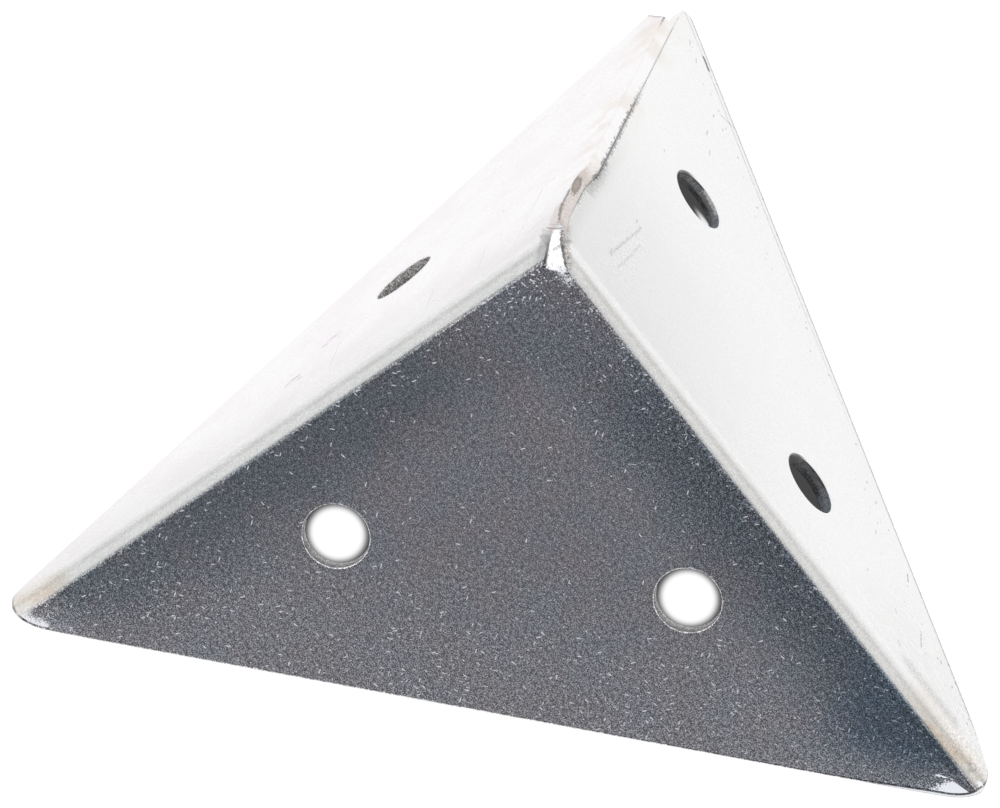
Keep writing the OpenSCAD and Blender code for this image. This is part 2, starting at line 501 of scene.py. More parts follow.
def corner_places(sizes):
    """Where a point of the sheet is, in mm, with what the folds and the cut edges do there."""
    group, t, _, made = shader_group(
        "corner places", {},
        {"Place": "Vector", "Left bend": "Float", "Right bend": "Float", "Edge": "Float",
         "Rim": "Float", "Wander": "Float"},
    )
    place = t.stored("place")["Vector"]
    t.set(made["Place"], place)
    t.set(made["Rim"], t.stored("rim")["Fac"])
    t.set(made["Wander"], t.math("SUBTRACT", t.noise(place, 3.5, 2, 0.7), 0.5))
    right, left, seam = t.split(place)
    fold = sizes.fold / MM

    def short_of_fold(along):
        return t.math("MAXIMUM", t.math("SUBTRACT", fold, along), 0)

    for name, along in (("Left bend", right), ("Right bend", left)):
        turn = t.math("ARCTAN2", short_of_fold(along), short_of_fold(seam))
        t.set(made[name], t.math("DIVIDE", turn, math.pi / 2))
    total = t.math("ADD", t.math("ADD", right, left), seam)
    rest = t.math("SUBTRACT", sizes.leg / MM, total)
    edge = t.math("DIVIDE", rest, math.sqrt(2))
    for far in (right, left):
        beside = t.math("SUBTRACT", total, far)
        out = t.math("SUBTRACT", far, TIP_CENTRE)
        gap = t.math("SUBTRACT", TIP_RADIUS, t.vector("LENGTH", t.join(out, beside, 0)))
        at_tip = t.math("GREATER_THAN", t.math("SUBTRACT", out, beside), 0)
        edge = t.math("MULTIPLY_ADD", at_tip, t.math("SUBTRACT", gap, edge), edge)
    t.set(made["Edge"], edge)
    return group


def grain_effect():
    """Fine crystalline grain: a factor around 1 for the colour, and a height."""
    group, t, given, made = shader_group(
        "grain", {"Place": "Vector", "Depth": "Float"}, {"Factor": "Float", "Height": "Float"},
    )
    fine = t.noise(given["Place"], 9.0, 1, 0.6)
    coarse = t.noise(given["Place"], 3.0, 1, 0.6)
    height = t.math("MULTIPLY_ADD", coarse, 0.28, t.math("MULTIPLY", fine, 0.72))
    swing = t.math("MULTIPLY", t.fade(height, 0.34, 0.66, -1, 1), given["Depth"])
    t.set(made["Factor"], t.math("POWER", 2, swing))
    t.set(made["Height"], height)
    return group


def stroke_effect():
    """A soft stroke from one place to another, with ragged sides."""
    group, t, given, made = shader_group(
        "stroke",
        {"Place": "Vector", "Wander": "Float", "Start": "Vector", "End": "Vector",
         "Width": "Float", "Soft": "Float", "Ragged": "Float"},
        {"Mask": "Float"},
    )
    run = t.vector("SUBTRACT", given["End"], given["Start"])
    reach = t.vector("SUBTRACT", given["Place"], given["Start"])
    share = t.math(
        "DIVIDE", t.vector("DOT_PRODUCT", reach, run), t.vector("DOT_PRODUCT", run, run),
    )
    share = t.math("MINIMUM", t.math("MAXIMUM", share, 0), 1)
    off = t.vector("LENGTH", t.vector("SUBTRACT", reach, t.scaled(run, share)))
    off = t.math("MULTIPLY_ADD", given["Wander"], given["Ragged"], off)
    half = t.math("MULTIPLY", given["Width"], 0.5)
    inner = t.math("SUBTRACT", half, t.math("MULTIPLY", half, given["Soft"]))
    t.set(made["Mask"], t.fade(off, inner, half, 1, 0))
    return group


def lip_highlight_width(t, right):
    """How far the painted highlight along the front face's cut edge reaches in, in mm."""
    return t.fade(right, 49, 55.5, 0.10, 0.34)


def stains_and_edge_shade(colours, stroke):
    """Stains at the seam and the tips, the seam's dark line and painted shade along the cut edges.
    """
    group, t, given, made = shader_group(
        "stains",
        {"Place": "Vector", "Wander": "Float", "Edge": "Float", "Rim": "Float", "Color": "Color"},
        {"Color": "Color"},
    )
    place, wander, colour = given["Place"], given["Wander"], given["Color"]
    right, left, seam = t.split(place)
    cloud = t.noise(place, 0.27, 1, 0.5)

    def stain(start, end, width, share, name, soft=1.0, ragged=0.0):
        mask = t.use(
            stroke, Place=place, Wander=wander, Start=start, End=end, Width=width,
            Soft=soft, Ragged=ragged,
        )["Mask"]
        return t.tint(colour, tuple(getattr(colours, name)), t.math("MULTIPLY", mask, share))

    patchy = t.fade(cloud, 0.42, 0.62)
    colour = stain((0, 0.5, 14), (0, 0.8, 33), 7.0, t.math("MULTIPLY", patchy, 0.5), "tan")
    colour = stain((0, 1.0, 45), (0, 1.5, 57), 7.0, t.fade(cloud, 0.35, 0.6, 0.15, 0.7), "tan")
    for row in STAINS:
        colour = stain(*row)
    darker = t.fade(seam, 31, 40, 0.80, 0)
    colour = stain((1.28, 0, 14.5), (1.28, 0, 40), 0.62, darker, "scratch_and_shade", 0.6, 1.4)
    for row in SEAM_MARKS:
        colour = stain(*row)

    off = t.vector("LENGTH", t.vector("SUBTRACT", place, RING_CENTRE))
    off = t.math("ABSOLUTE", t.math("SUBTRACT", off, RING_RADIUS))
    colour = t.tint(colour, tuple(colours.scratch_and_shade), t.fade(off, 0.04, 0.13, 0.22, 0))

    # painted shade: thin dark lines along the cut edges, broken up in patches
    patchy_shade = t.fade(wander, -0.16, 0.08, 0.35, 1)
    edge = given["Edge"]
    near_edge = t.math("MULTIPLY_ADD", wander, 0.5, edge)
    past_lip = t.math("SUBTRACT", edge, lip_highlight_width(t, right))
    left_end = t.product(t.fade(left, 54, 56), t.fade(right, 0.9, 1.5))
    front_line = t.product(
        t.between(past_lip, 0, 0.06, 0.08), t.fade(seam, 0.5, 0.9, 1, 0),
        t.most(t.fade(right, 20, 52, 0.20, 1.0), left_end),
    )
    left_line = t.product(
        t.fade(edge, 0.08, 0.26, 0.8, 0), t.fade(left, 53, 56), t.fade(right, 0.9, 1.2, 1, 0),
    )
    right_line = t.most(
        t.fade(near_edge, 0.24, 0.54, 0.60, 0),
        t.product(t.between(near_edge, 0.9, 1.0, 0.12), t.fade(seam, 20, 40, 0, 0.35)),
    )
    right_line = t.product(
        right_line, t.fade(left, 0.3, 0.5, 1, 0), t.fade(right, 1.3, 1.5), t.fade(seam, 3, 5),
    )
    rim = given["Rim"]
    back_tip = t.product(t.fade(seam, 49, 52, 0, 0.75), t.fade(right, 1.3, 1.5, 1, 0), rim)
    curve = t.product(rim, t.fade(right, 48, 50, 0, 0.8), t.fade(left, 1.2, 1.4, 1, 0))
    edges = t.most(front_line, left_line, right_line, back_tip, curve, t.product(rim, 0.02))
    edges = t.product(edges, patchy_shade)
    t.set(made["Color"], t.tint(colour, tuple(colours.scratch_and_shade), edges))
    return group


def shared_effects(sizes, colours):
    """The node groups that the plating and the cut edges share."""
    stroke = stroke_effect()
    return {
        "places": corner_places(sizes), "grain": grain_effect(),
        "stroke": stroke, "stains": stains_and_edge_shade(colours, stroke),
    }


class SheetPoint:
    """A point of the sheet as a material sees it: its place, its edges and its bends."""

    def __init__(self, t, effects):
        self.t = t
        self.effects = effects
        places = t.use(effects["places"])
        self.place = places["Place"]
        self.edge = places["Edge"]
        self.rim = places["Rim"]
        self.wander = places["Wander"]
        self.round_left = places["Left bend"]
        self.round_right = places["Right bend"]
        self.right, self.left, self.seam = t.split(self.place)

    def stroke(self, start, end, width, soft, ragged=0.0):
        """The mask of one stroke on the sheet."""
        return self.t.use(
            self.effects["stroke"], Place=self.place, Wander=self.wander, Start=start, End=end,
            Width=width, Soft=soft, Ragged=ragged,
        )["Mask"]

    def grained(self, colour, depth):
        """The colour with the grain in it, and the grain's height."""
        grain = self.t.use(self.effects["grain"], Place=self.place, Depth=depth)
        return self.t.tint(colour, self.t.grey(grain["Factor"]), 1.0), grain["Height"]

    def stained_and_edge_shaded(self, colour):
        """The colour with the stains, the seam's dark line and the painted shade along the cut
        edges.
        """
        return self.t.use(
            self.effects["stains"], Place=self.place, Wander=self.wander, Edge=self.edge,
            Rim=self.rim, Color=colour,
        )["Color"]


def plated_faces(t, at, colours, from_peak, cloud):
    """The colour of the three faces and of the softer bends between them, with painted shade
    in the bends and on the wings by the peak and the left fold, and the masks of the right
    wing, the front face and the bends."""
    left_wing = t.product(t.fade(at.round_left, 0.70, 1.0), t.fade(at.right, 0.25, 0.9, 1, 0))
    right_wing = t.product(t.fade(at.round_right, 0.70, 1.0), t.fade(at.right, 0.25, 0.9))
    front = t.product(
        t.fade(at.round_left, 0.12, 0.26, 1, 0), t.fade(at.round_right, 0.20, 0.34, 1, 0),
    )
    left_bend = t.product(
        t.fade(at.round_left, 0.12, 0.20), t.fade(at.round_left, 0.45, 0.90, 1, 0),
    )
    right_bend = t.product(
        t.fade(at.round_right, 0.18, 0.28), t.fade(at.round_right, 0.50, 0.78, 1, 0),
    )
    bend = t.most(left_bend, right_bend)
    colour = t.tint(tuple(colours.zinc), tuple(colours.left_wing), left_wing)
    colour = t.tint(colour, tuple(colours.right_wing), right_wing)
    # painted shade: the right wing darker towards the peak, the left wing darker beside its fold
    shade_by_peak = t.product(t.fade(from_peak, 6, 36, 1, 0), right_wing)
    colour = t.tint(colour, WING_SHADE_BY_PEAK, shade_by_peak)
    shade_by_left_fold = t.product(t.fade(at.seam, 2, 16, 1, 0), left_wing)
    colour = t.tint(colour, WING_SHADE_BY_LEFT_FOLD, shade_by_left_fold)
    colour = t.tint(colour, LILAC, t.product(t.fade(cloud, 0.40, 0.60), left_wing))
    # painted shade: the bends darker, with a darker line along the middle of each bend
    colour = t.tint(colour, LEFT_BEND_SHADE, t.product(left_bend, t.fade(at.left, 52, 56, 1, 0.3)))
    colour = t.tint(colour, RIGHT_BEND_SHADE, right_bend)
    mid_bend_shade = t.most(
        t.between(at.round_left, 0.45, 0.53, 0.05), t.between(at.round_right, 0.50, 0.57, 0.05),
    )
    mid_bend_shade = t.product(mid_bend_shade, t.fade(cloud, 0.35, 0.55, 0.5, 1))
    colour = t.tint(colour, MID_BEND_SHADE, mid_bend_shade)
    return colour, right_wing, front, bend


def front_shade_bands(t, at, colours, from_peak, cloud, front, colour):
    """The colour of the front face, with painted shade that is darker beside the left fold and
    bluer beside the right one, and the mask of the blue band."""
    patch = t.noise(t.vector("ADD", at.place, (40, 0, 0)), 0.22, 4, 0.6)
    wobble = t.math("MULTIPLY", t.math("SUBTRACT", cloud, 0.5), 5)
    by_left = t.fade(t.math("ADD", at.right, wobble), 3.0, 11.5, 1, 0)
    by_right = t.fade(t.math("ADD", at.left, wobble), 3.0, 10.3, 1, 0)
    away = t.product(t.fade(at.edge, 0.5, 4, 0.3, 1), t.fade(from_peak, 5, 20, 0.2, 1), front)
    blue = t.product(by_right, away)
    # painted shade: darker, bluer bands beside the folds and towards the right tip
    colour = t.tint(colour, FRONT_SHADE_BY_LEFT_FOLD, t.product(by_left, away))
    colour = t.tint(colour, tuple(colours.band), blue)
    by_tip = t.product(t.fade(at.right, 38, 50), t.fade(at.left, 5, 13, 1, 0), away)
    colour = t.tint(colour, FRONT_SHADE_BY_RIGHT_TIP, by_tip)
    hue = t.mix(t.fade(patch, 0.35, 0.65), FRONT_WARM, FRONT_COOL)
    return t.tint(colour, hue, front), blue


def pressed_tongue(t, at, from_peak, not_front, colour):
    """The colour of the tongue that is pressed in at the peak, with painted shade on its flanks,
    and the masks of the tongue, its right flank and the painted shade in its crease lines."""
    down = t.math("DIVIDE", t.math("ADD", at.right, at.left), math.sqrt(2))
    across = t.math("DIVIDE", t.math("SUBTRACT", at.right, at.left), math.sqrt(2))
    beyond = t.math(
        "SUBTRACT", across, t.math("MULTIPLY_ADD", down, TONGUE_SPREAD, TONGUE_SIDE),
    )
    above_left = t.math("MULTIPLY_ADD", at.left, -1.58, at.seam)
    height = t.math("MULTIPLY_ADD", at.right, -2.35, above_left)
    at_peak = t.product(t.fade(height, 0.1, 0.3, 1, 0), t.fade(down, 4, 5, 1, 0))
    tongue = t.product(
        t.fade(t.math("MULTIPLY_ADD", at.wander, 0.2, across), -0.36, -0.26),
        t.fade(t.math("MULTIPLY_ADD", at.wander, 0.3, beyond), -0.04, 0.06, 1, 0),
        t.fade(t.math("MULTIPLY_ADD", at.wander, 2.2, down), 2.9, 3.5, 1, 0), at_peak,
    )
    # painted shade: the tongue's flanks darker
    left_flank = t.product(
        t.between(across, -1.0, -0.4, 0.35), t.fade(down, 2.2, 3.6, 1, 0), at_peak, not_front,
    )
    colour = t.tint(colour, LEFT_FLANK_SHADE, left_flank)
    right_flank = t.product(
        t.between(beyond, 0.0, 0.45, 0.30), t.fade(down, 2.0, 4.2, 1, 0), at_peak, not_front,
    )
    colour = t.tint(colour, RIGHT_FLANK_SHADE, right_flank)
    # painted highlight: the tongue gets a whiter mirror colour than the plating
    colour = t.mix(tongue, colour, TONGUE_HIGHLIGHT)
    # painted shade in the crease lines round the tongue and along its top
    left_crease = t.product(
        t.between(across, -0.46, -0.34, 0.10), t.fade(down, 0.8, 2.4, 0.15, 0.85),
        t.fade(down, 3.3, 3.6, 1, 0), at_peak,
    )
    right_crease = t.product(
        t.between(t.math("MULTIPLY_ADD", at.wander, 0.3, beyond), 0.03, 0.14, 0.10),
        t.fade(down, 3.3, 3.9, 0.60, 0), at_peak,
    )
    upper_line = t.product(t.between(height, 1.3, 1.4, 0.12), 0.4)
    top_crease = t.product(
        t.most(t.between(height, 0.50, 0.62, 0.16), upper_line),
        t.between(across, -0.9, 0.85, 0.2), t.fade(from_peak, 2.6, 3.0, 0.55, 0),
    )
    return colour, tongue, right_flank, t.most(left_crease, right_crease, top_crease)


def dark_marks_and_shade(t, at, height, right_wing, not_front, marks):
    """The given marks with the scratches, smudges, flecks and dust, and painted shade round the
    hole edges.
    """
    for start, end, width, strength, ragged in SCRATCHES:
        marks = t.most(marks, t.product(at.stroke(start, end, width, 0.7, ragged), strength))
    drawn = t.join(t.product(at.right, 0.3), t.product(at.left, 0.3), at.seam)
    streak = t.noise(drawn, 2.2, 3, 0.75)
    near_tip = t.product(t.fade(at.right, 34, 46), right_wing, t.fade(at.seam, 5, 16, 1, 0.2))
    near_fold = t.product(not_front, t.fade(at.seam, 2, 8, 0.05, 0.02))
    smudge = t.most(t.product(near_tip, 0.10), near_fold)
    marks = t.most(marks, t.product(smudge, t.fade(streak, 0.32, 0.58)))
    fleck = t.cells(at.right, at.seam, 0.8)
    pick, grade, _ = t.channels(fleck["Color"])
    flecks = t.product(
        t.math("LESS_THAN", fleck["Distance"], t.fade(grade, 0, 1, 0.04, 0.11)),
        t.fade(pick, 0.70, 0.72), t.fade(at.edge, 1, 6, 0.50, 0.08), right_wing,
    )
    by_seam = t.product(
        t.between(at.right, 0.9, 1.6, 1.6), t.between(at.seam, 6, 18, 14), right_wing,
    )
    rubbed = t.product(at.stroke(on_right(46.0, 2.7), on_right(52.0, 2.8), 3.0, 1.0, 1.2), 0.62)
    dust = t.product(t.fade(height, 0.43, 0.60), t.most(t.product(by_seam, 0.30), rubbed))
    # painted shade: one side of each hole edge in the right wing darker, and the inner edges of
    # the holes darker
    rim_shade = 0.0
    for along, above_fold in ((HOLE_NEAR, HOLE_FAR), (HOLE_FAR, HOLE_NEAR)):
        aside = t.math("SUBTRACT", at.right, along)
        above = t.math("SUBTRACT", at.seam, above_fold)
        off = t.vector("LENGTH", t.join(aside, above, 0))
        turned_away = t.fade(t.math("MULTIPLY_ADD", above, 0.5, aside), -1.2, 0.6, 0.9, 0)
        rim_shade = t.most(rim_shade, t.product(t.fade(off, 2.84, 2.94, 1, 0), turned_away, right_wing))
    holes = t.product(t.fade(at.edge, 4, 6), at.rim)
    depth_in = t.math("MINIMUM", t.math("MINIMUM", at.right, at.left), at.seam)
    inner_rim_shade = t.product(
        holes, t.fade(depth_in, 0.5, 0.7), t.fade(at.seam, *BETWEEN_HOLES, 0.9, 0.35),
    )
    return t.most(marks, flecks, dust, rim_shade, inner_rim_shade)


def scuffs(t, at, from_peak, low, bare):
    """Bright dashes and dots where the plating of the front face is scuffed, and a faint painted
    sheen near its lower edge.
    """
    close = t.fade(t.math("MINIMUM", at.right, at.left), 2.0, 4.5, 1, 0)
    close = t.product(close, t.fade(from_peak, 8, 24, 1, 0.4), t.fade(at.right, 20, 44, 1, 0.25))
    dense = t.most(
        close, t.fade(from_peak, 4.5, 8.5, 1, 0), t.fade(at.left, 53, 56), t.product(low, 0.45),
    )
    least = t.math("MULTIPLY_ADD", dense, -0.70, 0.93)
    dim = t.fade(at.right, 36, 50, 0.85, 0.45)
    bright = 0.0
    for turn in DASHES:
        cos, sin = math.cos(math.radians(turn)), math.sin(math.radians(turn))
        along = t.vector("DOT_PRODUCT", at.place, (cos, sin, 0))
        over = t.vector("DOT_PRODUCT", at.place, (-sin, cos, 0))
        dash = t.cells(t.product(along, 0.24), t.math("ADD", over, turn), 1.9)
        pick, grade, _ = t.channels(dash["Color"])
        inside = t.math("LESS_THAN", dash["Distance"], t.fade(grade, 0, 1, 0.035, 0.095))
        chosen = t.math("GREATER_THAN", pick, least)
        bright = t.most(bright, t.product(inside, chosen, t.fade(grade, 0.2, 1, 0.08, dim)))
    dot = t.cells(at.right, at.left, 2.2)
    pick, grade, _ = t.channels(dot["Color"])
    inside = t.math("LESS_THAN", dot["Distance"], t.fade(grade, 0, 1, 0.09, 0.17))
    chosen = t.math("GREATER_THAN", pick, least)
    strength = t.fade(grade, 0, 1, 0.10, t.fade(from_peak, 5, 11, 1.0, 0.55))
    bright = t.most(bright, t.product(inside, chosen, strength))
    # the second term is a faint painted sheen near the front face's lower edge
    return t.most(t.product(bright, bare), t.product(low, 0.03))


def chip_highlights(t, at, height, front):
    """Painted highlights at the two tips of the front face and along its lip, drawn as bare metal.
    """
    tear = t.math("SUBTRACT", height, 0.5)
    torn = t.math("MULTIPLY_ADD", tear, 2.5, at.right)
    right_wedge = t.product(
        t.fade(t.math("MULTIPLY_ADD", at.right, 0.29, at.left), 18.32, 18.42),
        t.fade(t.math("MULTIPLY_ADD", at.left, 0.13, torn), 55.65, 55.80),
        t.fade(at.edge, 0.40, 0.46), front,
    )
    left_wedge = t.product(
        t.fade(at.edge, 0.24, 0.32),
        t.fade(t.math("MULTIPLY_ADD", tear, 4.0, at.edge), 0.65, 0.85, 1, 0),
        t.fade(at.left, 55.5, 56.3), t.between(at.right, 1.5, 3.3, 0.3), front,
    )
    past_lip = t.math("SUBTRACT", at.edge, lip_highlight_width(t, at.right))
    lip = t.product(
        t.fade(past_lip, -0.14, -0.08, 1, 0), t.fade(at.right, 50, 53),
        t.fade(at.seam, 0.5, 0.9, 1, 0),
    )
    chip_highlight = t.most(right_wedge, left_wedge, lip)
    for start, end, width in HIGHLIGHT_WEDGES:
        chip_highlight = t.most(chip_highlight, at.stroke(start, end, width, 0.25, 0.6))
    return chip_highlight


def zinc_plating(effects, colours):
    """Thin zinc plating on a rolled steel sheet, scuffed, with stains and with painted shade and
    highlights.
    """
    material = bpy.data.materials.new("zinc plating")
    material.use_nodes = True
    t = Tree(material.node_tree)
    shader = t.nodes["Principled BSDF"]
    at = SheetPoint(t, effects)
    from_peak = t.vector("LENGTH", at.place)
    cloud = t.noise(at.place, 0.16, 4, 0.6)
    colour, right_wing, front, bend = plated_faces(t, at, colours, from_peak, cloud)
    colour, blue = front_shade_bands(t, at, colours, from_peak, cloud, front, colour)
    low = t.product(t.fade(at.edge, 2, 16, 1, 0), front)
    not_front = t.math("SUBTRACT", 1, front)
    colour, tongue, right_flank, crease_shade = pressed_tongue(t, at, from_peak, not_front, colour)

    rough = t.math("MULTIPLY_ADD", t.most(low, blue), 0.42, 1.04)
    bare = t.product(front, t.math("SUBTRACT", 1, tongue))
    worn_wing = at.stroke(on_right(6.8, 14), on_right(6.8, 6), 6, 1.0)
    near_tip = t.product(t.fade(at.right, 47, 54), not_front, 0.30)
    depth = t.most(
        t.product(rough, bare), t.product(worn_wing, 0.25), t.product(bend, 0.16),
        t.product(right_flank, 0.7), near_tip, 0.07,
    )
    colour, height = at.grained(colour, depth)
    marks = dark_marks_and_shade(t, at, height, right_wing, not_front, crease_shade)
    colour = at.stained_and_edge_shaded(t.tint(colour, tuple(colours.scratch_and_shade), marks))

    bright = scuffs(t, at, from_peak, low, bare)
    chip_highlight = chip_highlights(t, at, height, front)
    # painted highlight at the foot of the tongue
    foot = at.stroke((2.9, 1.50, 0.1), (3.9, 1.60, 0.1), 1.5, 1.0, 1.2)
    foot = t.product(foot, t.fade(height, 0.38, 0.51), front)
    bright = t.most(bright, chip_highlight, foot)
    # the bright mask holds the scuffs and the painted highlights
    t.set(shader.inputs["Base Color"], t.mix(bright, colour, SCUFF_AND_HIGHLIGHT))
    t.set(shader.inputs["Metallic"], t.math("SUBTRACT", 1, t.math("MULTIPLY", bright, 0.8)))
    polish = t.fade(cloud, 0.3, 0.7, 0.24, 0.30)
    polish = t.fade(front, 0, 1, polish, 0.15)
    t.set(shader.inputs["Roughness"], t.fade(tongue, 0, 1, polish, 0.12))
    bump = t.nodes.new("ShaderNodeBump")
    bump.inputs["Distance"].default_value = 0.00002
    t.set(bump.inputs["Height"], height)
    t.set(bump.inputs["Strength"], t.fade(tongue, 0, 1, 0.9, 0.1))
    # the painted highlights are turned upwards in shading, so that they mirror the bright surround
    turned = t.vector("ADD", bump.outputs[0], t.scaled((0, 0, 0.9), chip_highlight))
    t.set(shader.inputs["Normal"], t.vector("NORMALIZE", turned))
    return material


def seam_cut(t, at, colours):
    """The colour of the cut edges, which are clean far down the seam and carry one dark spot
    on it, with the mask of the clean part."""
    clean = t.fade(t.math("MULTIPLY_ADD", at.wander, 6, at.seam), 13.5, 17)
    colour = t.mix(clean, tuple(colours.sheared), CLEAN_CUT)
    over = t.product(t.math("SUBTRACT", at.right, 0.45), 2.3)
    above = t.product(t.math("SUBTRACT", at.seam, 10.5), 0.48)
    off = t.math("MULTIPLY_ADD", at.wander, 1.3, t.vector("LENGTH", t.join(over, above, 0)))
    spot = t.product(t.fade(off, 0.80, 1.05, 1, 0), t.fade(off, 0.35, 0.70, 0.75, 1))
    colour = t.tint(colour, CUT_SPOT, spot)
    return t.tint(colour, CUT_BY_PEAK, t.fade(at.seam, 2.2, 3.6, 1, 0)), clean


def painted_hole_walls(t, at, colours, in_front, in_left):
    """The colour of the walls of the screw holes, painted with shade and light."""
    from_centre = t.math(
        "SUBTRACT", at.right, t.fade(at.seam, *BETWEEN_HOLES, HOLE_FAR, HOLE_NEAR),
    )
    # painted shade and light across the walls of the right wing's holes, with a lighter band and a
    # glint
    wall = t.mix(t.fade(from_centre, -2.4, 0.0), NEAR_WALL_SHADING, tuple(colours.bore_shade))
    wall = t.mix(t.fade(from_centre, 1.2, 2.4), wall, FAR_WALL_SHEEN)
    band = t.product(t.between(at.left, 0.35, 0.60, 0.25), t.fade(from_centre, -2.6, -0.6))
    band = t.product(band, t.fade(at.seam, *BETWEEN_HOLES, 0.4, 1.0))
    wall = t.mix(band, wall, WALL_LIGHT_BAND)
    glint = t.product(
        t.between(at.left, 0.14, 0.34, 0.08), t.between(from_centre, 0.3, 1.9, 0.5),
        t.math("GREATER_THAN", at.seam, 31),
    )
    wall = t.mix(glint, wall, WALL_GLINT)
    # painted light and shade: the left wing's wall lighter, the front face's walls dark outside
    # and light inside
    wall = t.mix(in_left, wall, LEFT_WALL_SHADING)
    front_wall = t.mix(t.fade(at.seam, 0.05, 1.15), FRONT_WALL_SHADE, FRONT_WALL_LIGHT)
    return t.mix(in_front, wall, front_wall)


def sheared_steel(effects, colours):
    """Sheared steel at the cut edges and hole walls, darker and rougher than the faces, with
    painted shade and light on the hole walls.
    """
    material = bpy.data.materials.new("sheared steel")
    material.use_nodes = True
    t = Tree(material.node_tree)
    shader = t.nodes["Principled BSDF"]
    at = SheetPoint(t, effects)
    colour, clean = seam_cut(t, at, colours)
    longest = t.most(at.right, at.left, at.seam)
    total = t.math("ADD", t.math("ADD", at.right, at.left), at.seam)
    hole = t.math("GREATER_THAN", t.math("SUBTRACT", total, longest), 4)
    hole = t.math("MULTIPLY", hole, t.fade(at.edge, 5, 7))
    in_front = t.math("LESS_THAN", at.seam, 1.5)
    in_left = t.math("LESS_THAN", at.right, 1.5)
    colour = t.mix(hole, colour, painted_hole_walls(t, at, colours, in_front, in_left))
    depth = t.fade(hole, 0, 1, t.fade(clean, 0, 1, 0.42, 0.03), t.fade(in_left, 0, 1, 0.8, 1.3))
    colour, height = at.grained(colour, depth)
    t.set(shader.inputs["Base Color"], at.stained_and_edge_shaded(colour))
    t.set(shader.inputs["Metallic"], t.fade(t.product(hole, in_front), 0, 1, 0.7, 0.15))
    t.set(shader.inputs["Roughness"], t.fade(height, 0.3, 0.7, 0.38, 0.55))
    return material


def is_cut(place, normal, sheet, fold):
    """True for a face that the shear or the punch left, from its place and normal in mm."""
    right, left, seam = place
    over_right, over_left, over_seam = (abs(n) for n in normal)
    if max(place) < fold + 0.3:
        return False
    if seam < fold and right < fold:
        return over_left > 0.5
    if seam < fold and left < fold:
        return over_right > 0.5
    if seam < sheet + 0.05:
        return over_seam < 0.7
    if right < sheet + 0.05:
        return over_right < 0.7
    return over_left < 0.7


def crisp_normals(mesh, limit):
    """Gives each corner the mean normal of its neighbours within limit, by their area."""
    around = [[] for _ in mesh.vertices]
    for polygon in mesh.polygons:
        for index in polygon.vertices:
            around[index].append((polygon.normal.copy(), polygon.area))
    least = math.cos(limit)
    normals = []
    for polygon in mesh.polygons:
        for index in polygon.vertices:
            total = Vector()
            for normal, area in around[index]:
                if normal.dot(polygon.normal) > least:
                    total += normal * area
            normals.append(total.normalized())
    mesh.normals_split_custom_set(normals)


